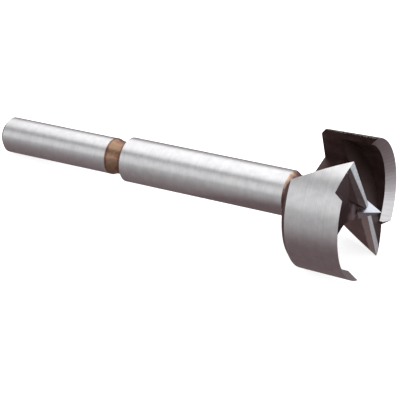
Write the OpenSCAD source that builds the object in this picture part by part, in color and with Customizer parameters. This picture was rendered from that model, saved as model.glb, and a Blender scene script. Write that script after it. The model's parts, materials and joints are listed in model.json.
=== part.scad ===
// Forstner bit, 35 mm, turned and milled from one bar of tool steel.
// The bit is drawn standing on its shank with the cutting head upward, then laid down as it
// comes to rest on a bench: on the end of the shank, the back corner of one rim and the outer
// corner of the lifter across the throat.

/* [Shank] */
// Diameter of the shank that the chuck grips
shank_d = 9.525; // [8:0.025:10]
// Length of the ground part of the shank
shank_len = 33.2; // [28:0.1:35.2]
// Chamfer at the end of the shank
shank_chamfer = 1; // [0.3:0.05:1.5]

/* [Body] */
// Diameter of the ground body between shank and head
body_d = 11.66; // [11:0.02:13]
// Distance from the shank's end to the start of the body
body_start = 37.75; // [37.5:0.05:41]
// Distance from the shank's end to the end of the body
body_end = 85; // [78:0.1:85.8]
// Depth of the relief groove between shank and body, below the shank
groove_depth = 0.45; // [0.2:0.05:0.8]
// Radius that the unground neck behind the head has
neck_r = 4.95; // [4.5:0.01:4.96]

/* [Head] */
// Diameter of the head at its cutting rim
head_d = 35; // [33:0.1:37]
// Distance from the shank's end to the back of the head
head_back = 90.15; // [88.3:0.05:90.8]
// Distance from the shank's end to the cutting edge of the rim
rim_front = 105.3; // [104.3:0.1:106.3]
// How much smaller the head's radius is at the back than at the rim
back_taper = 0.26; // [0:0.02:0.5]
// Chamfer at the back edge of the head
back_chamfer = 1.35; // [0.4:0.05:2]
// Thickness of the rim's wall
rim_wall = 2.05; // [1.6:0.05:2.6]
// Height of the sharpening bevel inside the rim
bevel_h = 2.15; // [1.5:0.05:2.8]
// Which way the bit cuts
cutting_hand = "left"; // [left, right]

/* [Lifters] */
// How far the lifters' outer corners lie behind the rim's edge
lifter_set = 0.45; // [0.3:0.05:1]
// Slope of the cutting edges, up towards the middle
edge_rise = 1.5; // [0:0.1:2]
// How far a cutting edge runs ahead of the axis
edge_lead = 0.85; // [0.4:0.05:1.2]
// Hook angle of the rake face
rake_angle = 29; // [24:1:34]
// Width of the bright land behind a cutting edge
land_w = 1.3; // [0.8:0.05:1.8]
// Clearance angle of the land
land_angle = 6; // [3:0.5:9]
// Distance from the cutting edge to the back of the ground flank
flank_w = 3.05; // [2.4:0.05:3.6]
// Clearance angle of the ground flank
flank_angle = 11; // [9:0.5:14]
// Direction of the first lifter, about the axis
lifter_dir = 37.5; // [34:0.1:40]
// How far the second lifter is ground ahead of the first one's exact opposite
second_lead = 2.6; // [0:0.1:3]

/* [Throats] */
// Direction in which a chip throat is milled, about the axis
throat_dir = 50; // [46:0.5:54]
// Distance from the axis to a throat's floor
throat_floor = 5; // [5:0.05:5.6]
// Distance from the axis to the wall that ends the rim
throat_wall = 9.9; // [9:0.1:10.6]

/* [Pockets] */
// Radius of the hub in the middle of the head
hub_r = 5.1; // [4.8:0.05:5.6]
// Distance from the rim's edge down to the top of the hub
hub_drop = 6; // [5:0.1:7]
// Drop of the spiral pocket floor from the lifter to the throat
ramp_drop = 10.4; // [9:0.1:11]
// How the spiral floor steepens on the way down, 1 is an even slope
ramp_power = 1.15; // [1:0.01:1.4]
// Angle at which the rim begins, measured at its edge
rim_start = 6.8; // [4:0.1:9]
// Slope of the rim's leading end away from the axis
rim_start_slope = 35; // [20:1:45]

/* [Spur] */
// Height of the centre spur above the rim's edge
spur_h = 3.5; // [2:0.1:5]
// Angle from the axis to the spur's faces that look along the lifters
spur_end_angle = 13; // [10:0.5:20]
// Angle from the axis to the spur's faces that look across the lifters
spur_side_angle = 24; // [18:0.5:30]
// Radius of the core that carries the spur
core_r = 1.4; // [1.1:0.05:2]

/* [Hidden] */
$fn = 96;

shank_r = shank_d / 2;
body_r = body_d / 2;
head_r = head_d / 2;
groove_r = shank_r - groove_depth;
// The unground land beside the groove stands a hair proud of the ground shank.
land_r = shank_r + 0.03;
groove_land = 0.8;
groove_run = 1.4;
body_chamfer = 0.8;
shoulder_run = 1.3;
edge_flat = 0.12;
bore_r = head_r - rim_wall;
edge_z = rim_front - lifter_set;
hub_z = rim_front - hub_drop;
land_drop = land_w * tan(land_angle);
flank_drop = land_drop + (flank_w - land_w) * tan(flank_angle);
tip_z = rim_front + spur_h;
// Reach of the cutting volumes past the head, on every side.
reach = 30;
top_z = tip_z + 4;

// Angle on the rim of a lifter's outer corner, and of the corner where the rim ends.
lifter_tip = lifter_dir + asin(edge_lead / head_r);
rim_end = throat_dir + asin(throat_wall / head_r) - 180;
// The spiral floor starts at the lifter and runs on past the throat's wall to its floor.
ramp_turn = lifter_tip - rim_end;
ramp_over = 41;
ramp_steps = 48;
ramp_rings = 5;

// Pose at rest. Three points touch the bench: the shank's end, the back corner of the first rim
// and the outer corner of the second lifter. Each corner's pull is its radius over its distance
// from the shank's contact, and both pulls must ask for the same tilt.
back_r = head_r - back_taper;
rim_corner = throat_dir + asin(throat_wall / back_r) - 180;
second_tip = lifter_tip + second_lead - 180;
reach_rim = head_back + back_chamfer - shank_chamfer;
reach_tip = edge_z - shank_chamfer;
pull_x = back_r / reach_rim * cos(rim_corner) - head_r / reach_tip * cos(second_tip);
pull_y = back_r / reach_rim * sin(rim_corner) - head_r / reach_tip * sin(second_tip);
rest_down = atan2(pull_y, pull_x)
    - acos(shank_r * (1 / reach_rim - 1 / reach_tip) / norm([pull_x, pull_y]));
rest_tilt = atan((back_r * cos(rim_corner - rest_down) - shank_r) / reach_rim);
rest_lift = shank_r * cos(rest_tilt) - shank_chamfer * sin(rest_tilt);
rest_mid = (tip_z * cos(rest_tilt) - (shank_r - shank_chamfer) * sin(rest_tilt)) / 2;

// Height of the spiral pocket floor at an angle behind the lifter's corner.
function ramp_z(turn) = edge_z - ramp_drop * pow(min(max(turn, 0), ramp_turn) / ramp_turn, ramp_power);

// Shank, relief groove, body, neck and head blank, as turned on the lathe.
module turned_blank() {
    rotate_extrude()
        polygon([
            [0, 0],
            [shank_r - shank_chamfer, 0],
            [shank_r, shank_chamfer],
            [shank_r, shank_len],
            [land_r, shank_len],
            [land_r, shank_len + groove_land],
            [groove_r, shank_len + groove_land + groove_run],
            [groove_r, body_start],
            [body_r - body_chamfer, body_start],
            [body_r, body_start + body_chamfer],
            [body_r, body_end],
            [neck_r, body_end + shoulder_run],
            [neck_r, head_back],
            [back_r - back_chamfer, head_back],
            [back_r, head_back + back_chamfer],
            [head_r, rim_front],
            [0, rim_front]
        ]);
}

// Prism that runs outward along the lifter, its slope that of the cutting edge. The outline is
// given as distance ahead of the axis and height above the edge.
module along_lifter(outline, both_sides = false) {
    rotate([0, 0, lifter_dir])
        translate([0, 0, edge_z + head_r * tan(edge_rise)])
            rotate([0, edge_rise, 0])
                rotate([90, 0, 90])
                    translate([0, 0, both_sides ? -reach : 0])
                        linear_extrude(both_sides ? 2 * reach : reach)
                            polygon(outline);
}

// Everything ahead of the rake face, down to a depth below the cutting edge.
module ahead_of_rake(depth) {
    lean = tan(rake_angle);
    low = -depth;
    high = 8;
    along_lifter([
        [edge_lead + low * lean, low],
        [reach, low],
        [reach, high],
        [edge_lead + high * lean, high]
    ]);
}

// Chip throat: a milled slot with a flat floor beside the hub and a wall that ends the rim.
module throat(lead) {
    intersection() {
        rotate([0, 0, throat_dir])
            translate([throat_floor, -reach, head_back - 2])
                cube([reach, reach + throat_wall, reach]);
        rotate([0, 0, lead])
            ahead_of_rake(22);
    }
}

// Clearance in front of the rake face, above the hub, so that the edge cuts to the spur. Its
// floor slopes with the cutting edge.
module rake_front() {
    intersection() {
        ahead_of_rake(hub_drop);
        cylinder(r = (hub_r + bore_r) / 2, h = top_z);
    }
}

// Space above the spiral floor, from the lifter round to the next throat. The floor is level
// along every radius. Its innermost ring lies inside the core that carries the spur.
module above_ramp() {
    first = -12;
    sweep = ramp_turn + ramp_over - first;
    turns = [for (i = [0 : ramp_steps]) first + sweep * i / ramp_steps];
    inner = core_r * 0.6;
    radii = [for (k = [0 : ramp_rings]) inner + (reach - inner) * pow(k / ramp_rings, 2)];
    n = len(turns);
    m = len(radii);
    roof = n * m;
    points = concat(
        [for (r = radii) for (turn = turns)
            [r * cos(lifter_tip - turn), r * sin(lifter_tip - turn), ramp_z(turn)]],
        [for (r = [inner, reach]) for (turn = turns)
            [r * cos(lifter_tip - turn), r * sin(lifter_tip - turn), top_z]]
    );
    faces = concat(
        [for (k = [0 : m - 2]) for (i = [0 : n - 2])
            let (a = k * n + i, b = a + n) [a, b + 1, b]],
        [for (k = [0 : m - 2]) for (i = [0 : n - 2])
            let (a = k * n + i, b = a + n) [a, a + 1, b + 1]],
        [for (i = [0 : n - 2])
            let (a = roof + i, b = a + n) [a, b, b + 1, a + 1]],
        [for (i = [0 : n - 2])
            [i, roof + i, roof + i + 1, i + 1]],
        [for (i = [0 : n - 2])
            let (a = (m - 1) * n + i, b = roof + n + i) [a, a + 1, b + 1, b]],
        [concat([for (k = [0 : m - 1]) k * n], [roof + n, roof])],
        [concat([for (k = [m - 1 : -1 : 0]) k * n + n - 1], [roof + n - 1, roof + 2 * n - 1])]
    );
    polyhedron(points = points, faces = faces, convexity = 6);
}

// Side of the head behind the ground flank, bounded by a bevel that drops off its back edge.
module behind_flank() {
    back = edge_lead - flank_w;
    low = -14;
    along_lifter([
        [back + low, low - flank_drop],
        [back + 2, 2 - flank_drop],
        [back + 2, 8],
        [-reach, 8],
        [-reach, low - flank_drop]
    ], both_sides = true);
}

// Opening in the rim above a lifter's flank, up to the rim's sloping leading end.
module rim_gap() {
    middle = rim_start + 2.4;
    lean = tan(rim_start_slope);
    start = head_r * sin(rim_start - middle);
    low_z = rim_front - 12;
    rotate([0, 0, middle])
        rotate([90, 0, 90])
            linear_extrude(reach)
                polygon([
                    [start + 12 * lean, low_z],
                    [reach, low_z],
                    [reach, top_z],
                    [start - (top_z - rim_front) * lean, top_z]
                ]);
}

// Spiral relief behind a lifter: the pocket inside the rim, with the hub left standing, and
// the opening in the rim.
module relief() {
    intersection() {
        above_ramp();
        behind_flank();
        union() {
            difference() {
                translate([0, 0, head_back - 2])
                    cylinder(r = bore_r, h = reach);
                cylinder(r = hub_r, h = hub_z);
            }
            rim_gap();
        }
    }
}

// Space over the ground land and flank of a lifter. The land's plane runs on ahead of the cutting
// edge, and the flank's past its back edge.
module over_land() {
    run_on = 0.8;
    along_lifter([
        [edge_lead + 3, 3 * tan(land_angle)],
        [edge_lead - land_w, -land_drop],
        [edge_lead - flank_w - run_on, -flank_drop - run_on * tan(flank_angle)],
        [edge_lead - flank_w - run_on, 8],
        [edge_lead + 3, 8]
    ]);
}

// Sharpening bevel inside the rim, between its leading end and the throat.
module rim_bevel() {
    first = rim_start + 6;
    sweep = first - rim_end + 12;
    bevel_z = rim_front - bevel_h;
    intersection() {
        translate([0, 0, bevel_z])
            cylinder(r1 = bore_r, r2 = head_r - edge_flat, h = bevel_h);
        linear_extrude(top_z)
            polygon(concat(
                [[0, 0]],
                [for (i = [0 : 6])
                    let (angle = first - sweep * i / 6)
                        [reach * cos(angle), reach * sin(angle)]]
            ));
    }
}

// Ridge with a triangular section, its crest level and through the spur's tip.
module crest(half_angle, depth) {
    half = depth * tan(half_angle);
    rotate([90, 0, 90])
        linear_extrude(2 * reach, center = true)
            polygon([[-half, tip_z - depth], [half, tip_z - depth], [0, tip_z]]);
}

// Four-sided centre spur on its core.
module spur() {
    depth = tip_z - edge_z + 1.2;
    rotate([0, 0, lifter_dir + second_lead / 2])
        intersection() {
            crest(spur_side_angle, depth);
            rotate([0, 0, 90])
                crest(spur_end_angle, depth);
        }
    translate([0, 0, hub_z - 1])
        cylinder(r = core_r, h = tip_z - depth - hub_z + 2);
}

// All that is cut away for one lifter and the throat before it. The lead turns the lifter
// against its throat.
module half_cuts(lead) {
    throat(lead);
    rotate([0, 0, lead]) {
        rake_front();
        relief();
        over_land();
    }
    rim_bevel();
}

// The whole bit, standing on its shank, as a bit that cuts to the right.
module standing_bit() {
    difference() {
        turned_blank();
        half_cuts(0);
        rotate([0, 0, 180])
            half_cuts(second_lead);
    }
    spur();
}

// Lays a standing bit down on the bench, a throat under it.
module at_rest(down) {
    translate([-rest_mid, 0, rest_lift])
        rotate([0, 90 - rest_tilt, 0])
            rotate([0, 0, -down])
                children();
}

module forstner_bit() {
    color([0.72, 0.72, 0.73])
        if (cutting_hand == "left")
            at_rest(-rest_down)
                mirror([0, 1, 0])
                    standing_bit();
        else
            at_rest(rest_down)
                standing_bit();
}

forstner_bit();
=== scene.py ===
"""Looks of a forstner bit lying on a pale bench: ground steel, brown oxide and a studio stage."""
import json
import math

import bmesh
import bpy
from mathutils import Matrix, Vector


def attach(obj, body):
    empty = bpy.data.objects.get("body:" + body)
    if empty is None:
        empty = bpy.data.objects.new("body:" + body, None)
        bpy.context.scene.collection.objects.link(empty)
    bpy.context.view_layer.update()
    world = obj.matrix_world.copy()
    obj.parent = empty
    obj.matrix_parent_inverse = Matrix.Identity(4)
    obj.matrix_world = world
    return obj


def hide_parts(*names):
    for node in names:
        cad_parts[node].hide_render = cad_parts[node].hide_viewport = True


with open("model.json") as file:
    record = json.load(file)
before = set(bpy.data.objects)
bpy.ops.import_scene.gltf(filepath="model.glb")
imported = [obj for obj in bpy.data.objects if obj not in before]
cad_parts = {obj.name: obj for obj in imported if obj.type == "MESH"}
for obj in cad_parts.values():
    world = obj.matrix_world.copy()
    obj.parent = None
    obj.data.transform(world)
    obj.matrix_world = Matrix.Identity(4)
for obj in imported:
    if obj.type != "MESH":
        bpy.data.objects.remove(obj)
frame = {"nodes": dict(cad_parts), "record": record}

bl_info = {
    "name": "Forstner bit",
    "version": (1, 0, 0),
    "blender": (4, 5, 0),
    "location": "3D View > Sidebar > Forstner bit",
    "description": "Finishes a forstner bit and sets it on a pale studio bench",
    "category": "Object",
}

NODE = "forstner_bit"
MM = 0.001

# Places along the bit, in millimetres from the end of the shank.
MOUNT = 17.1
SHANK_END = 33.2
BODY_START = 37.7
BODY_END = 85.05
HEAD_BACK = 90.1
OUTSIDE_START = 91.6
RELIEF_BOTTOM = 97.5
HUB_FOOT = 101.8
RAKE_BAND = 102.3
BEVEL_FOOT = 103.0
LIFTER_FOOT = 103.3
RELIEF_TOP = 103.5
SPUR_FOOT = 104.5

# Distances out from the axis, in millimetres.
CORE_RADIUS = 2.0
SPUR_RADIUS = 2.2
HUB_RADIUS = 5.6
BEVEL_INSIDE = 15.3
OUTSIDE_RADIUS = 16.9
BEVEL_RADIUS = 17.0
RIM_EDGE = 17.2
HEAD_RADIUS = 17.5

# How squarely a face looks towards the tip: 1 is straight at it, -1 straight at the shank.
RAKE_FACING = (-0.6, -0.35)
BACK_FACING = -0.3
SPUR_FACING = (0.1, 0.9)
BEVEL_FACING = 0.4
RELIEF_FACING = 0.5
LAND_FACING = 0.972
# The same measured outwards, for the rim's bevel, and for a face that looks nearly straight one way.
BEVEL_OUTWARD = -0.2
NEARLY_STRAIGHT = 0.95

# Angles of the lifters about the axis, in degrees from straight down.
LIFTERS = (159.6, 342.2)
# Lead of a cutting edge over the axis and width of the ground flank behind it, in millimetres.
EDGE_LEAD = 0.85
FLANK_WIDTH = 3.05
EDGE_SLACK = 0.1
FLANK_SLACK = 0.15
# Distance from the axis to a lifter's inner and outer end, and how wide each bright land is there.
LIFTER_ENDS = (3.0, 17.0)
LAND_WIDTHS = ((0.85, 1.75), (2.1, 2.6))

# Sizes of the mottled patches in each finish, in millimetres.
STAIN_SIZE = 1.6
HEAT_SIZE = 1.8
TINT_SIZE = 2.6
MILLED_SIZE = 2.5
CHIP_SIZE = 0.5
RELIEF_SIZE = 1.6
RELIEF_MARK = 0.5
RAKE_SIZE = 2.0
CUTTER_MARK = 0.4
LAND_GRAIN = 0.7

# How far a border between two colours wanders to either side, or fades, in millimetres.
HEAT_WANDER = 0.6
RELIEF_WANDER = 0.8
RAKE_WANDER = 0.5
RAKE_FADE = 0.35
LAND_WANDER = 0.15
LAND_FADE = (-0.12, 0.08)
HUB_LIGHT_SIDE_FADE = 1.2
HUB_LIGHT_RISE_FADE = 0.9
# How far inside the outer edge the chipped bright line starts, and where it is whole.
CHIP_FADE = (0.2, 0.05)

# Depths of the marks in the steel and length of a streak, in millimetres.
LINE_DEPTH = 0.02
CUT_DEPTH = 0.03
MILL_DEPTH = 0.04
STREAK_LENGTH = 4.0
# Few turns of the pattern about the axis draw rings.
RING_TURNS = 0.9

# How much a finish's roughness departs from its mean.
GROUND_SPREAD = 0.05
STREAK_SPREAD = 0.07
HEAT_ROUGHER = (-0.15, -0.03)
MILLED_ROUGHER = (0.05, 0.2)
RELIEF_ROUGHER = 0.1
RAKE_ROUGHER = 0.08

# Heat colours of the oxide along the groove, along the neck and across the back of the head.
# The groove starts with a cream painted highlight and a dark line of painted shade at its wall.
GROOVE_OXIDE_AND_PAINTED_LIGHT = (
    (0.0, "#DEC6B2"), (0.08, "#6B534A"), (0.2, "#9C7F6E"),
    (0.55, "#9C826E"), (0.82, "#997769"), (1.0, "#54403A"),
)
# Painted highlight: the neck's cream start at the body's end; darker towards the head's back, partly oxide
# and partly painted shade.
NECK_OXIDE_AND_PAINTED_LIGHT = (
    (0.0, "#DEC8BB"), (0.1, "#B0968B"), (0.28, "#735853"), (0.65, "#564040"), (1.0, "#4A3838"),
)
BACK_BANDS = ((0.0, "#5E4A4B"), (0.5, "#725D5E"), (1.0, "#7A696B"))

# The studio, in metres. A softbox has a place, a point it is aimed at, a length and a width.
BIT_MIDDLE = (0.0, 0.0, 0.01)
HEAD_MIDDLE = (0.05, 0.0, 0.015)
SOFTBOXES = {
    "key_power": ("Overhead softbox", (-0.08, 0.32, 0.62), BIT_MIDDLE, (1.2, 1.22)),
    "fill_power": ("Front softbox", (-0.25, -0.76, 0.47), BIT_MIDDLE, (1.2, 0.6)),
    "card_power": ("Head card", (0.64, -0.12, 0.32), HEAD_MIDDLE, (0.9, 0.6)),
}
CAMERA_AT = (0.15315, -0.26924, 0.23137)
CAMERA_TOWARDS = (-0.00563, 0.01919, -0.01296)
CAMERA_LENS = 134.34
BENCH_SIZE = 4.0
# Strength of the bench's glow, which only the camera sees.
BENCH_GLOW = 0.72
# Painted reflection of the bench that the steel shows, from the near side to painted shade under the bit.
NEAR_SIDE = 0.12
PAINTED_REFLECTION_BANDS = (
    (0.0, "#CECCCD"), (0.54, "#B8B5B6"), (0.71, "#A6A0A2"),
    (0.83, "#A3999A"), (0.92, "#928688"), (1.0, "#7B6A6C"),
)
# The near bands lie further forward beside the head, by this much at this distance from the middle.
HEAD_SHIFT = 0.04
# Where the painted reflection shows the open bench ahead of the head, and a pale patch of it on the far
# side.
AHEAD = (0.062, 0.135)
AHEAD_REFLECTION_COLOUR = "#EFEDEE"
PATCH_ALONG = (0.060, 0.068)
PATCH_ACROSS = (0.024, 0.030)
PATCH_REFLECTION_COLOUR = "#C6C9CB"


def linear(code):
    """Linear colour of an sRGB hex code."""
    parts = [int(code[i:i + 2], 16) / 255 for i in (1, 3, 5)]
    return [p / 12.92 if p <= 0.04045 else ((p + 0.055) / 1.055) ** 2.4 for p in parts] + [1.0]


def add(tree, kind, inputs=None, stops=(), **settings):
    """A new node with its settings.

    An input is a value or another node's output socket. Stops are the places and colours of a
    colour ramp.
    """
    node = tree.nodes.new(kind)
    for name, value in settings.items():
        setattr(node, name, value)
    for name, value in (inputs or {}).items():
        socket = node.inputs[name]
        if isinstance(value, bpy.types.NodeSocket):
            tree.links.new(value, socket)
        else:
            socket.default_value = value
    if stops:
        elements = node.color_ramp.elements
        while len(elements) < len(stops):
            elements.new(0.5)
        for element, (place, colour) in zip(elements, stops):
            element.position = place
            element.color = linear(colour) if isinstance(colour, str) else colour
    return node


def bit_axis():
    """The centre of the shank's end and the direction of the axis towards the head."""
    mount = frame["record"]["mounts"][0]
    axis = -Vector(mount["axis"]).normalized()
    return Vector(mount["pos_m"]) - MOUNT * MM * axis, axis


def about_axis(angle):
    """Unit direction at an angle about the axis, counted from straight down."""
    side = Vector((0.0, 1.0, 0.0))
    down = side.cross(bit_axis()[1]).normalized()
    if down.z > 0:
        down = -down
    turn = math.radians(angle)
    return math.cos(turn) * down - math.sin(turn) * side


def bit_coordinates():
    """Node group that measures the bit.

    It gives the distance along the axis and out from it in millimetres, the direction round it,
    and the place in millimetres from the shank's end.
    """
    name = "Bit coordinates"
    group = bpy.data.node_groups.get(name)
    if group:
        return group
    end, axis = bit_axis()
    group = bpy.data.node_groups.new(name, "ShaderNodeTree")
    for label, kind in (("Along", "Float"), ("Out", "Float"), ("Round", "Vector"), ("Place", "Vector")):
        group.interface.new_socket(label, in_out="OUTPUT", socket_type="NodeSocket" + kind)
    vector = "ShaderNodeVectorMath"
    corner = add(group, "ShaderNodeTexCoord").outputs["Object"]
    offset = add(group, vector, {0: corner, 1: end}, operation="SUBTRACT").outputs["Vector"]
    place = add(group, vector, {0: offset, "Scale": 1 / MM}, operation="SCALE").outputs["Vector"]
    along = add(group, vector, {0: place, 1: axis}, operation="DOT_PRODUCT").outputs["Value"]
    on_axis = add(group, vector, {0: axis, "Scale": along}, operation="SCALE").outputs["Vector"]
    outward = add(group, vector, {0: place, 1: on_axis}, operation="SUBTRACT").outputs["Vector"]
    out = add(group, vector, {0: outward}, operation="LENGTH").outputs["Value"]
    around = add(group, vector, {0: outward}, operation="NORMALIZE").outputs["Vector"]
    add(group, "NodeGroupOutput", {"Along": along, "Out": out, "Round": around, "Place": place})
    return group


def surface(name):
    """An empty material, its tree and its bit coordinates in millimetres."""
    material = bpy.data.materials.new(name)
    material.use_nodes = True
    tree = material.node_tree
    tree.nodes.clear()
    return material, tree, add(tree, "ShaderNodeGroup", node_tree=bit_coordinates()).outputs


def drawn_out(tree, place, turns, step):
    """Mottling drawn out into lines.

    Many turns and a long step, in millimetres, give streaks along the bit. Few turns and a short
    step give rings round it.
    """
    turn = add(tree, "ShaderNodeVectorMath", {0: place["Round"], "Scale": turns}, operation="SCALE")
    rise = add(tree, "ShaderNodeMath", {0: place["Along"], 1: 1 / step}, operation="MULTIPLY")
    shift = add(tree, "ShaderNodeCombineXYZ", {"X": rise.outputs["Value"]})
    spot = add(tree, "ShaderNodeVectorMath", {
        0: turn.outputs["Vector"], 1: shift.outputs["Vector"],
    }, operation="ADD")
    return add(tree, "ShaderNodeTexNoise", {
        "Vector": spot.outputs["Vector"], "Scale": 1.0, "Detail": 3.0,
    }).outputs["Fac"]


def ground_steel(settings):
    """Cylindrical ground tool steel: clear stripes of light along the bit, broken by a fine ring grain."""
    material, tree, place = surface("Cylindrical ground steel")
    # A wheel leaves lines about 0.03 mm apart. They are drawn coarser, so that they show.
    lines = drawn_out(tree, place, RING_TURNS, settings.line_pitch / MM)
    stain = add(tree, "ShaderNodeTexNoise", {
        "Vector": place["Place"], "Scale": 1 / STAIN_SIZE, "Detail": 5.0,
    })
    both = add(tree, "ShaderNodeMath", {0: stain.outputs["Fac"], 1: lines}, operation="ADD")
    tone = add(tree, "ShaderNodeMath", {0: both.outputs["Value"], 1: 0.5}, operation="MULTIPLY")
    colour = add(tree, "ShaderNodeValToRGB", {"Fac": tone.outputs["Value"]}, (
        (0.36, "#C4C3C4"), (0.5, settings.ground_colour), (0.64, "#D5D5D6"),
    ))
    rough = add(tree, "ShaderNodeMapRange", {
        "Value": lines, "To Min": settings.ground_roughness - GROUND_SPREAD,
        "To Max": settings.ground_roughness + GROUND_SPREAD,
    })
    normal = add(tree, "ShaderNodeNewGeometry").outputs["Normal"]
    tangent = add(tree, "ShaderNodeVectorMath", {0: bit_axis()[1], 1: normal}, operation="CROSS_PRODUCT")
    bump = add(tree, "ShaderNodeBump", {"Height": lines, "Strength": 0.1, "Distance": LINE_DEPTH * MM})
    shader = add(tree, "ShaderNodeBsdfPrincipled", {
        "Base Color": colour.outputs["Color"], "Metallic": 1.0, "Roughness": rough.outputs["Result"],
        "Anisotropic": 0.3, "Tangent": tangent.outputs["Vector"], "Normal": bump.outputs["Normal"],
    })
    add(tree, "ShaderNodeOutputMaterial", {"Surface": shader.outputs["BSDF"]})
    return material


def heat_tint(settings, name, span, bands, metallic):
    """Turned steel browned by heat: oxide bands, a painted copper highlight over dark brown, painted shade.
    """
    material, tree, place = surface(name)
    patches = add(tree, "ShaderNodeTexNoise", {
        "Vector": place["Place"], "Scale": 1 / HEAT_SIZE, "Detail": 3.0,
    }).outputs["Fac"]
    wander = add(tree, "ShaderNodeMapRange", {
        "Value": patches, "To Min": -HEAT_WANDER, "To Max": HEAT_WANDER,
    })
    height = add(tree, "ShaderNodeMath", {
        0: place["Along"], 1: wander.outputs["Result"],
    }, operation="ADD")
    level = add(tree, "ShaderNodeMapRange", {
        "Value": height.outputs["Value"], "From Min": span[0], "From Max": span[1],
    })
    skin = add(tree, "ShaderNodeValToRGB", {"Fac": level.outputs["Result"]}, bands)
    hue = add(tree, "ShaderNodeTexNoise", {
        "Vector": place["Place"], "Scale": 1 / TINT_SIZE, "Detail": 3.0,
    })
    tint = add(tree, "ShaderNodeValToRGB", {"Fac": hue.outputs["Fac"]}, (
        (0.38, "#DCC6BE"), (0.5, "#FFFBF8"), (0.62, "#EFEADC"),
    ))
    colour = add(tree, "ShaderNodeMix", {
        "Factor": 1.0, 6: skin.outputs["Color"], 7: tint.outputs["Color"],
    }, data_type="RGBA", blend_type="MULTIPLY")
    rough = add(tree, "ShaderNodeMapRange", {
        "Value": patches, "To Min": settings.oxide_roughness + HEAT_ROUGHER[0],
        "To Max": settings.oxide_roughness + HEAT_ROUGHER[1],
    })
    # Turning leaves a coarser feed line than grinding. It is drawn twice as wide.
    lines = drawn_out(tree, place, RING_TURNS, 2 * settings.line_pitch / MM)
    bump = add(tree, "ShaderNodeBump", {"Height": lines, "Strength": 0.2, "Distance": CUT_DEPTH * MM})
    shader = add(tree, "ShaderNodeBsdfPrincipled", {
        "Base Color": colour.outputs[2], "Metallic": metallic, "Roughness": rough.outputs["Result"],
        "Normal": bump.outputs["Normal"],
    })
    add(tree, "ShaderNodeOutputMaterial", {"Surface": shader.outputs["BSDF"]})
    return material


def milled_oxide(settings):
    """Milled steel under dark oxide: near black brown, with a chipped bright line at the outer edges."""
    material, tree, place = surface("Milled steel under dark oxide")
    patches = add(tree, "ShaderNodeTexNoise", {
        "Vector": place["Place"], "Scale": 1 / MILLED_SIZE, "Detail": 3.0,
    }).outputs["Fac"]
    skin = add(tree, "ShaderNodeValToRGB", {"Fac": patches}, (
        (0.3, "#3B2A26"), (0.55, settings.milled_colour), (0.75, "#564344"),
    ))
    chips = add(tree, "ShaderNodeTexNoise", {
        "Vector": place["Place"], "Scale": 1 / CHIP_SIZE, "Detail": 3.0,
    })
    depth = add(tree, "ShaderNodeMapRange", {
        "Value": chips.outputs["Fac"], "From Min": 0.35, "From Max": 0.65,
        "To Max": settings.edge_wear / MM,
    })
    edge = add(tree, "ShaderNodeMath", {0: place["Out"], 1: depth.outputs["Result"]}, operation="ADD")
    worn = add(tree, "ShaderNodeMapRange", {
        "Value": edge.outputs["Value"], "From Min": HEAD_RADIUS - CHIP_FADE[0],
        "From Max": HEAD_RADIUS - CHIP_FADE[1],
    })
    colour = add(tree, "ShaderNodeMix", {
        "Factor": worn.outputs["Result"], 6: skin.outputs["Color"], 7: linear("#B4AFAB"),
    }, data_type="RGBA")
    rough = add(tree, "ShaderNodeMapRange", {
        "Value": patches, "To Min": settings.oxide_roughness + MILLED_ROUGHER[0],
        "To Max": settings.oxide_roughness + MILLED_ROUGHER[1],
    })
    marks = add(tree, "ShaderNodeTexNoise", {
        "Vector": place["Place"], "Scale": 1 / CUTTER_MARK, "Detail": 2.0,
    })
    bump = add(tree, "ShaderNodeBump", {
        "Height": marks.outputs["Fac"], "Strength": 0.15, "Distance": MILL_DEPTH * MM,
    })
    shader = add(tree, "ShaderNodeBsdfPrincipled", {
        "Base Color": colour.outputs[2], "Metallic": 0.7, "Roughness": rough.outputs["Result"],
        "Normal": bump.outputs["Normal"],
    })
    add(tree, "ShaderNodeOutputMaterial", {"Surface": shader.outputs["BSDF"]})
    return material


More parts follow.
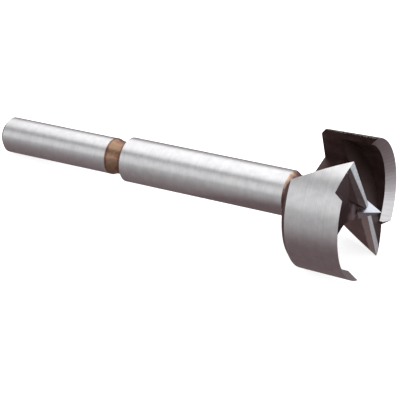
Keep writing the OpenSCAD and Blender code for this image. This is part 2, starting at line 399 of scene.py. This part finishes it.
def relief_oxide(settings):
    """Milled relief behind the lifters: purple-brown, painted light near the spur, painted shade deep down.
    """
    material, tree, place = surface("Milled relief under purple-brown oxide")
    patches = add(tree, "ShaderNodeTexNoise", {
        "Vector": place["Place"], "Scale": 1 / RELIEF_SIZE, "Detail": 3.0,
    })
    wander = add(tree, "ShaderNodeMapRange", {
        "Value": patches.outputs["Fac"], "To Min": -RELIEF_WANDER, "To Max": RELIEF_WANDER,
    })
    height = add(tree, "ShaderNodeMath", {
        0: place["Along"], 1: wander.outputs["Result"],
    }, operation="ADD").outputs["Value"]
    level = add(tree, "ShaderNodeMapRange", {
        "Value": height, "From Min": RELIEF_BOTTOM, "From Max": RELIEF_TOP,
    })
    # Painted shade: darkest at the bottom of the relief, paler towards its top.
    skin = add(tree, "ShaderNodeValToRGB", {"Fac": level.outputs["Result"]}, (
        (0.1, "#3A2B28"), (0.5, "#534140"), (0.7, settings.relief_colour), (1.0, "#524142"),
    ))
    # Painted light: near the axis and above the raised middle's foot, mixed to a paler purple-grey.
    within = add(tree, "ShaderNodeMapRange", {
        "Value": place["Out"], "From Min": HUB_RADIUS, "From Max": HUB_RADIUS - HUB_LIGHT_SIDE_FADE,
    })
    above = add(tree, "ShaderNodeMapRange", {
        "Value": height, "From Min": HUB_FOOT, "From Max": HUB_FOOT + HUB_LIGHT_RISE_FADE,
    })
    hub_light = add(tree, "ShaderNodeMath", {
        0: within.outputs["Result"], 1: above.outputs["Result"],
    }, operation="MULTIPLY")
    colour = add(tree, "ShaderNodeMix", {
        "Factor": hub_light.outputs["Value"], 6: skin.outputs["Color"], 7: linear("#8C787B"),
    }, data_type="RGBA")
    marks = add(tree, "ShaderNodeTexNoise", {
        "Vector": place["Place"], "Scale": 1 / RELIEF_MARK, "Detail": 2.0,
    })
    bump = add(tree, "ShaderNodeBump", {
        "Height": marks.outputs["Fac"], "Strength": 0.2, "Distance": MILL_DEPTH * MM,
    })
    shader = add(tree, "ShaderNodeBsdfPrincipled", {
        "Base Color": colour.outputs[2], "Metallic": 0.85,
        "Roughness": settings.oxide_roughness + RELIEF_ROUGHER, "Normal": bump.outputs["Normal"],
    })
    add(tree, "ShaderNodeOutputMaterial", {"Surface": shader.outputs["BSDF"]})
    return material


def rake_steel(settings):
    """Undercut rake face: brown oxide below, and an olive-grey ground band along the cutting edge."""
    material, tree, place = surface("Rake face with a ground band")
    patches = add(tree, "ShaderNodeTexNoise", {
        "Vector": place["Place"], "Scale": 1 / RAKE_SIZE, "Detail": 3.0,
    }).outputs["Fac"]
    wander = add(tree, "ShaderNodeMapRange", {
        "Value": patches, "To Min": -RAKE_WANDER, "To Max": RAKE_WANDER,
    })
    height = add(tree, "ShaderNodeMath", {
        0: place["Along"], 1: wander.outputs["Result"],
    }, operation="ADD")
    band = add(tree, "ShaderNodeMapRange", {
        "Value": height.outputs["Value"], "From Min": RAKE_BAND - RAKE_FADE,
        "From Max": RAKE_BAND + RAKE_FADE,
    })
    skin = add(tree, "ShaderNodeValToRGB", {"Fac": patches}, ((0.3, "#7E6967"), (0.7, "#8F7A78")))
    colour = add(tree, "ShaderNodeMix", {
        "Factor": band.outputs["Result"], 6: skin.outputs["Color"], 7: linear("#C9BEB8"),
    }, data_type="RGBA")
    marks = add(tree, "ShaderNodeTexNoise", {
        "Vector": place["Place"], "Scale": 1 / CUTTER_MARK, "Detail": 2.0,
    })
    bump = add(tree, "ShaderNodeBump", {
        "Height": marks.outputs["Fac"], "Strength": 0.12, "Distance": CUT_DEPTH * MM,
    })
    shader = add(tree, "ShaderNodeBsdfPrincipled", {
        "Base Color": colour.outputs[2], "Metallic": 0.8,
        "Roughness": settings.oxide_roughness + RAKE_ROUGHER, "Normal": bump.outputs["Normal"],
    })
    add(tree, "ShaderNodeOutputMaterial", {"Surface": shader.outputs["BSDF"]})
    return material


def streaked(name, codes, roughness, strength, radius, pitch):
    """Tool steel ground across the edge by hand: bright, with short straight streaks.

    The streaks lie pitch millimetres apart at the radius given, and are drawn coarser than real,
    so that they show.
    """
    material, tree, place = surface(name)
    lines = drawn_out(tree, place, radius / pitch, STREAK_LENGTH)
    colour = add(tree, "ShaderNodeValToRGB", {"Fac": lines}, ((0.3, codes[0]), (0.7, codes[1])))
    rough = add(tree, "ShaderNodeMapRange", {
        "Value": lines, "To Min": roughness - STREAK_SPREAD, "To Max": roughness + STREAK_SPREAD,
    })
    bump = add(tree, "ShaderNodeBump", {
        "Height": lines, "Strength": strength, "Distance": CUT_DEPTH * MM,
    })
    shader = add(tree, "ShaderNodeBsdfPrincipled", {
        "Base Color": colour.outputs["Color"], "Metallic": 1.0, "Roughness": rough.outputs["Result"],
        "Normal": bump.outputs["Normal"],
    })
    add(tree, "ShaderNodeOutputMaterial", {"Surface": shader.outputs["BSDF"]})
    return material


def ground_land(settings, name, angle, widths):
    """Freshly ground land along a cutting edge: pale up to a ragged border, brown behind it.

    The land has the two widths, in millimetres, at the lifter's inner and outer end.
    """
    material, tree, place = surface(name)
    vector = "ShaderNodeVectorMath"
    spot = add(tree, vector, {0: place["Round"], "Scale": place["Out"]}, operation="SCALE").outputs["Vector"]
    ahead = add(tree, vector, {0: spot, 1: about_axis(angle + 90)}, operation="DOT_PRODUCT")
    along = add(tree, vector, {0: spot, 1: about_axis(angle)}, operation="DOT_PRODUCT")
    border = add(tree, "ShaderNodeMapRange", {
        "Value": along.outputs["Value"], "From Min": LIFTER_ENDS[0], "From Max": LIFTER_ENDS[1],
        "To Min": EDGE_LEAD - widths[0], "To Max": EDGE_LEAD - widths[1],
    })
    grain = add(tree, "ShaderNodeTexNoise", {
        "Vector": place["Place"], "Scale": 1 / LAND_GRAIN, "Detail": 3.0,
    }).outputs["Fac"]
    wander = add(tree, "ShaderNodeMapRange", {
        "Value": grain, "To Min": -LAND_WANDER, "To Max": LAND_WANDER,
    })
    line = add(tree, "ShaderNodeMath", {
        0: border.outputs["Result"], 1: wander.outputs["Result"],
    }, operation="ADD")
    past = add(tree, "ShaderNodeMath", {
        0: ahead.outputs["Value"], 1: line.outputs["Value"],
    }, operation="SUBTRACT")
    pale = add(tree, "ShaderNodeMapRange", {
        "Value": past.outputs["Value"], "From Min": LAND_FADE[0], "From Max": LAND_FADE[1],
    })
    land = add(tree, "ShaderNodeValToRGB", {"Fac": grain}, (
        (0.35, "#BCC1C6"), (0.65, settings.land_colour),
    ))
    flank = add(tree, "ShaderNodeValToRGB", {"Fac": grain}, ((0.35, "#3F302F"), (0.65, "#503F41")))
    colour = add(tree, "ShaderNodeMix", {
        "Factor": pale.outputs["Result"], 6: flank.outputs["Color"], 7: land.outputs["Color"],
    }, data_type="RGBA")
    bump = add(tree, "ShaderNodeBump", {"Height": grain, "Strength": 0.1, "Distance": CUT_DEPTH * MM})
    shader = add(tree, "ShaderNodeBsdfPrincipled", {
        "Base Color": colour.outputs[2], "Metallic": 0.55, "Roughness": 0.45,
        "Normal": bump.outputs["Normal"],
    })
    add(tree, "ShaderNodeOutputMaterial", {"Surface": shader.outputs["BSDF"]})
    return material


def zone(along, out, facing, outward, lifters):
    """Which finish a face has, from where it lies and which way it faces.

    lifters gives, for each lifter, how far out along it the face lies and how far ahead of its
    middle.
    """
    if along < SHANK_END:
        return "ground"
    if along < BODY_START:
        return "groove"
    if along < BODY_END:
        return "ground"
    if along < HEAD_BACK:
        return "neck"
    if outward > NEARLY_STRAIGHT and out > OUTSIDE_RADIUS:
        return "ground"
    if along < OUTSIDE_START and facing < BACK_FACING:
        return "back"
    within_bevel = out > BEVEL_INSIDE and along > BEVEL_FOOT
    if within_bevel and facing > BEVEL_FACING and outward < BEVEL_OUTWARD:
        return "bevel"
    if out > RIM_EDGE and facing > NEARLY_STRAIGHT:
        return "bevel"
    if along > SPUR_FOOT and out < SPUR_RADIUS and SPUR_FACING[0] < facing < SPUR_FACING[1]:
        return "spur"
    for name, (past, ahead) in zip(("first land", "second land"), lifters):
        behind = EDGE_LEAD - ahead
        on_flank = past > 0 and -EDGE_SLACK < behind < FLANK_WIDTH + FLANK_SLACK
        if on_flank and along > LIFTER_FOOT and facing > LAND_FACING:
            return name
    if RAKE_FACING[0] < facing < RAKE_FACING[1]:
        return "rake"
    if facing > RELIEF_FACING or (out < CORE_RADIUS and along > HUB_FOOT):
        return "relief"
    return "milled"


class BitFinish(bpy.types.PropertyGroup):
    """How the bit's steel is finished."""

    ground_colour: bpy.props.FloatVectorProperty(
        name="Ground steel", description="Mean colour of the bright ground steel",
        default=linear("#CDCCCD"), size=4, min=0.0, max=1.0, subtype="COLOR")
    land_colour: bpy.props.FloatVectorProperty(
        name="Lands", description="Colour of the freshly ground lands along the cutting edges",
        default=linear("#D4D8DC"), size=4, min=0.0, max=1.0, subtype="COLOR")
    milled_colour: bpy.props.FloatVectorProperty(
        name="Milled oxide", description="Mean colour of the dark oxide inside the head",
        default=linear("#4B3836"), size=4, min=0.0, max=1.0, subtype="COLOR")
    relief_colour: bpy.props.FloatVectorProperty(
        name="Relief oxide", description="Colour of the oxide behind the lifters",
        default=linear("#4E3D3D"), size=4, min=0.0, max=1.0, subtype="COLOR")
    ground_roughness: bpy.props.FloatProperty(
        name="Ground roughness", description="Mean roughness of the bright ground steel",
        default=0.32, min=0.1, max=0.6, subtype="FACTOR")
    oxide_roughness: bpy.props.FloatProperty(
        name="Oxide roughness", description="Mean roughness of the brown oxide",
        default=0.38, min=0.15, max=0.8, subtype="FACTOR")
    line_pitch: bpy.props.FloatProperty(
        name="Grinding line pitch", description="Distance between the grinding lines as drawn",
        default=0.00012, min=0.00002, max=0.001, precision=5, unit="LENGTH")
    edge_wear: bpy.props.FloatProperty(
        name="Edge wear", description="How far the chips reach in from the head's outer edges",
        default=0.00045, min=0.0, max=0.002, precision=5, unit="LENGTH")


class StudioSetup(bpy.types.PropertyGroup):
    """Lights around the bit."""

    key_power: bpy.props.FloatProperty(
        name="Overhead softbox", description="Power of the softbox above and behind the bit",
        default=5.8, min=0.0, max=50.0, unit="POWER")
    fill_power: bpy.props.FloatProperty(
        name="Front softbox", description="Power of the softbox on the viewer's side",
        default=1.55, min=0.0, max=50.0, unit="POWER")
    card_power: bpy.props.FloatProperty(
        name="Head card", description="Power of the card before the cutting head",
        default=1.55, min=0.0, max=50.0, unit="POWER")


def merged_copy(node):
    """The CAD solid as one joined skin, smooth on its curves and crisp at its edges."""
    merge_distance = 0.0005 * MM
    form = bmesh.new()
    form.from_mesh(node.data)
    bmesh.ops.remove_doubles(form, verts=form.verts, dist=merge_distance)
    bmesh.ops.dissolve_degenerate(form, edges=form.edges, dist=merge_distance)
    mesh = bpy.data.meshes.new("Forstner bit")
    form.to_mesh(mesh)
    form.free()
    if "custom_normal" in mesh.attributes:
        mesh.attributes.remove(mesh.attributes["custom_normal"])
    mesh.shade_smooth()
    mesh.set_sharp_from_angle(angle=math.radians(14))
    bit = bpy.data.objects.new("forstner_bit_skin", mesh)
    bpy.context.scene.collection.objects.link(bit)
    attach(bit, "root")
    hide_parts(NODE)
    return bit


class OBJECT_OT_finish_bit(bpy.types.Operator):
    """Gives every face of the bit the finish it has on the real tool"""

    bl_idname = "object.finish_forstner_bit"
    bl_label = "Finish the bit"

    def execute(self, context):
        bit = merged_copy(frame["nodes"][NODE])
        finishes = self.finishes(context.scene.bit_finish)
        mesh = bit.data
        mesh.materials.clear()
        for material in finishes.values():
            mesh.materials.append(material)
        order = list(finishes)
        end, axis = bit_axis()
        directions = [(about_axis(angle), about_axis(angle + 90)) for angle in LIFTERS]
        for face in mesh.polygons:
            offset = (face.center - end) / MM
            along = offset.dot(axis)
            radial = offset - along * axis
            out = radial.length
            outward = face.normal.dot(radial / out) if out > 1e-6 else 0.0
            lifters = [(offset.dot(length), offset.dot(front)) for length, front in directions]
            finish = zone(along, out, face.normal.dot(axis), outward, lifters)
            face.material_index = order.index(finish)
        return {"FINISHED"}

    def finishes(self, settings):
        """The material of each zone of the bit."""
        groove = (SHANK_END, BODY_START)
        neck = (BODY_END, HEAD_BACK)
        back = (HEAD_BACK, OUTSIDE_START)
        first, second = LIFTERS
        return {
            "ground": ground_steel(settings),
            "groove": heat_tint(settings, "Groove under bronze oxide", groove, GROOVE_OXIDE_AND_PAINTED_LIGHT, 0.9),
            "neck": heat_tint(settings, "Neck under copper oxide", neck, NECK_OXIDE_AND_PAINTED_LIGHT, 0.95),
            "back": heat_tint(settings, "Head back under purple oxide", back, BACK_BANDS, 0.8),
            "milled": milled_oxide(settings),
            "relief": relief_oxide(settings),
            "rake": rake_steel(settings),
            "first land": ground_land(
                settings, "Ground land of the first lifter", first, LAND_WIDTHS[0]),
            "second land": ground_land(
                settings, "Ground land of the second lifter", second, LAND_WIDTHS[1]),
            "bevel": streaked(
                "Ground rim bevel", ("#BBB9BA", "#D2D1D3"), roughness=0.33, strength=0.14,
                radius=BEVEL_RADIUS, pitch=0.28),
            "spur": streaked(
                "Ground spur faces", ("#ACB0B8", "#CCD1D9"), roughness=0.34, strength=0.1,
                radius=1.5, pitch=0.25),
        }


class SCENE_OT_build_studio(bpy.types.Operator):
    """Sets up the pale bench, the softboxes and the camera"""

    bl_idname = "scene.build_forstner_studio"
    bl_label = "Build the studio"

    def execute(self, context):
        scene = context.scene
        self.bench()
        for power, box in SOFTBOXES.items():
            self.softbox(*box, getattr(scene.studio_setup, power))
        self.world(scene)
        self.camera(scene)
        scene.view_settings.view_transform = "Standard"
        return {"FINISHED"}

    def bench(self):
        """The flat bench top."""
        mesh = bpy.data.meshes.new("Bench")
        form = bmesh.new()
        bmesh.ops.create_grid(form, x_segments=1, y_segments=1, size=BENCH_SIZE)
        form.to_mesh(mesh)
        form.free()
        bench = bpy.data.objects.new("Bench", mesh)
        bpy.context.scene.collection.objects.link(bench)
        mesh.materials.append(self.bench_top())
        return bench

    def bench_top(self):
        """Pale matt laminate: white to the eye, with a soft shadow.

        The steel shows a painted reflection of it, subdued and brownish, darkest in painted shade under the
        bit, because a white one would bleach the steel.
        """
        material = bpy.data.materials.new("Pale bench top")
        material.use_nodes = True
        tree = material.node_tree
        tree.nodes.clear()
        path = add(tree, "ShaderNodeLightPath").outputs
        white = add(tree, "ShaderNodeBsdfDiffuse", {"Color": linear("#F4F4F4")})
        # The glow is for the camera alone, so that it puts no light on the bit.
        lift = add(tree, "ShaderNodeMath", {0: path["Is Camera Ray"], 1: BENCH_GLOW}, operation="MULTIPLY")
        glow = add(tree, "ShaderNodeEmission", {
            "Color": linear("#FFFFFF"), "Strength": lift.outputs["Value"],
        })
        seen = add(tree, "ShaderNodeAddShader", {0: white.outputs["BSDF"], 1: glow.outputs["Emission"]})
        # Painted reflection: glossy rays see this emitted colour in place of the lit bench.
        reflected_glow = add(tree, "ShaderNodeEmission", {"Color": self.reflection(tree), "Strength": 1.0})
        mixed = add(tree, "ShaderNodeMixShader", {
            "Fac": path["Is Glossy Ray"], 1: seen.outputs["Shader"], 2: reflected_glow.outputs["Emission"],
        })
        add(tree, "ShaderNodeOutputMaterial", {"Surface": mixed.outputs["Shader"]})
        return material

    def reflection(self, tree):
        """Painted reflection of the bench for the steel: darkest under the bit as painted shade, paler ahead
        of the head.
        """
        corner = add(tree, "ShaderNodeTexCoord").outputs["Object"]
        place = add(tree, "ShaderNodeSeparateXYZ", {"Vector": corner}).outputs
        shift = add(tree, "ShaderNodeMapRange", {
            "Value": place["X"], "From Min": 0.0, "From Max": HEAD_SHIFT,
            "To Min": 0.0, "To Max": HEAD_SHIFT,
        })
        side = add(tree, "ShaderNodeMath", {0: place["Y"], 1: shift.outputs["Result"]}, operation="ADD")
        near = add(tree, "ShaderNodeMapRange", {
            "Value": side.outputs["Value"], "From Min": -NEAR_SIDE, "From Max": 0.0,
        })
        shade = add(tree, "ShaderNodeValToRGB", {"Fac": near.outputs["Result"]}, PAINTED_REFLECTION_BANDS)
        ahead = add(tree, "ShaderNodeMapRange", {
            "Value": place["X"], "From Min": AHEAD[0], "From Max": AHEAD[1],
        })
        open_bench = add(tree, "ShaderNodeMix", {
            "Factor": ahead.outputs["Result"], 6: shade.outputs["Color"], 7: linear(AHEAD_REFLECTION_COLOUR),
        }, data_type="RGBA")
        along = add(tree, "ShaderNodeMapRange", {
            "Value": place["X"], "From Min": PATCH_ALONG[0], "From Max": PATCH_ALONG[1],
        })
        across = add(tree, "ShaderNodeMapRange", {
            "Value": place["Y"], "From Min": PATCH_ACROSS[0], "From Max": PATCH_ACROSS[1],
        })
        patch = add(tree, "ShaderNodeMath", {
            0: along.outputs["Result"], 1: across.outputs["Result"],
        }, operation="MULTIPLY")
        return add(tree, "ShaderNodeMix", {
            "Factor": patch.outputs["Value"], 6: open_bench.outputs[2], 7: linear(PATCH_REFLECTION_COLOUR),
        }, data_type="RGBA").outputs[2]

    def softbox(self, name, at, towards, size, power):
        """A rectangular softbox aimed at a point, its long side along the bit where it can be."""
        light = bpy.data.lights.new(name, "AREA")
        light.shape = "RECTANGLE"
        light.size, light.size_y = size
        light.energy = power
        lamp = bpy.data.objects.new(name, light)
        bpy.context.scene.collection.objects.link(lamp)
        back = (Vector(at) - Vector(towards)).normalized()
        right = Vector((1.0, 0.0, 0.0)) if abs(back.x) < 0.8 else Vector((0.0, 1.0, 0.0))
        up = back.cross(right).normalized()
        right = up.cross(back)
        turn = Matrix((right, up, back)).transposed().to_4x4()
        lamp.matrix_world = Matrix.Translation(at) @ turn

    def world(self, scene):
        """Even room light, white where the camera sees it."""
        world = bpy.data.worlds.new("Studio")
        scene.world = world
        world.use_nodes = True
        tree = world.node_tree
        tree.nodes.clear()
        path = add(tree, "ShaderNodeLightPath")
        room = add(tree, "ShaderNodeBackground", {"Color": linear("#E8E8EA"), "Strength": 0.52})
        white = add(tree, "ShaderNodeBackground", {"Color": linear("#FFFFFF"), "Strength": 1.0})
        mixed = add(tree, "ShaderNodeMixShader", {
            "Fac": path.outputs["Is Camera Ray"],
            1: room.outputs["Background"], 2: white.outputs["Background"],
        })
        add(tree, "ShaderNodeOutputWorld", {"Surface": mixed.outputs["Shader"]})

    def camera(self, scene):
        """The photograph's viewpoint: 41 cm away, looking down at 37 degrees past the cutting head."""
        data = bpy.data.cameras.new("Camera")
        data.lens = CAMERA_LENS
        data.sensor_width = 36.0
        data.clip_start = 0.01
        camera = bpy.data.objects.new("Camera", data)
        scene.collection.objects.link(camera)
        at = Vector(CAMERA_AT)
        camera.location = at
        camera.rotation_euler = (Vector(CAMERA_TOWARDS) - at).to_track_quat("-Z", "Y").to_euler()
        scene.camera = camera


class VIEW3D_PT_forstner_bit(bpy.types.Panel):
    """Sidebar panel with the bit's finish and its studio"""

    bl_idname = "VIEW3D_PT_forstner_bit"
    bl_label = "Forstner bit"
    bl_space_type = "VIEW_3D"
    bl_region_type = "UI"
    bl_category = "Forstner bit"

    def draw(self, context):
        layout = self.layout
        for group in (context.scene.bit_finish, context.scene.studio_setup):
            for name in group.__annotations__:
                layout.prop(group, name)
        layout.operator(OBJECT_OT_finish_bit.bl_idname)
        layout.operator(SCENE_OT_build_studio.bl_idname)


CLASSES = (
    BitFinish, StudioSetup, OBJECT_OT_finish_bit, SCENE_OT_build_studio, VIEW3D_PT_forstner_bit,
)


def register():
    for cls in CLASSES:
        bpy.utils.register_class(cls)
    bpy.types.Scene.bit_finish = bpy.props.PointerProperty(type=BitFinish)
    bpy.types.Scene.studio_setup = bpy.props.PointerProperty(type=StudioSetup)


def unregister():
    del bpy.types.Scene.studio_setup
    del bpy.types.Scene.bit_finish
    for cls in reversed(CLASSES):
        bpy.utils.unregister_class(cls)


def main():
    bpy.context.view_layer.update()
    register()
    bpy.ops.object.finish_forstner_bit()
    bpy.ops.scene.build_forstner_studio()


if __name__ == "__main__":
    main()
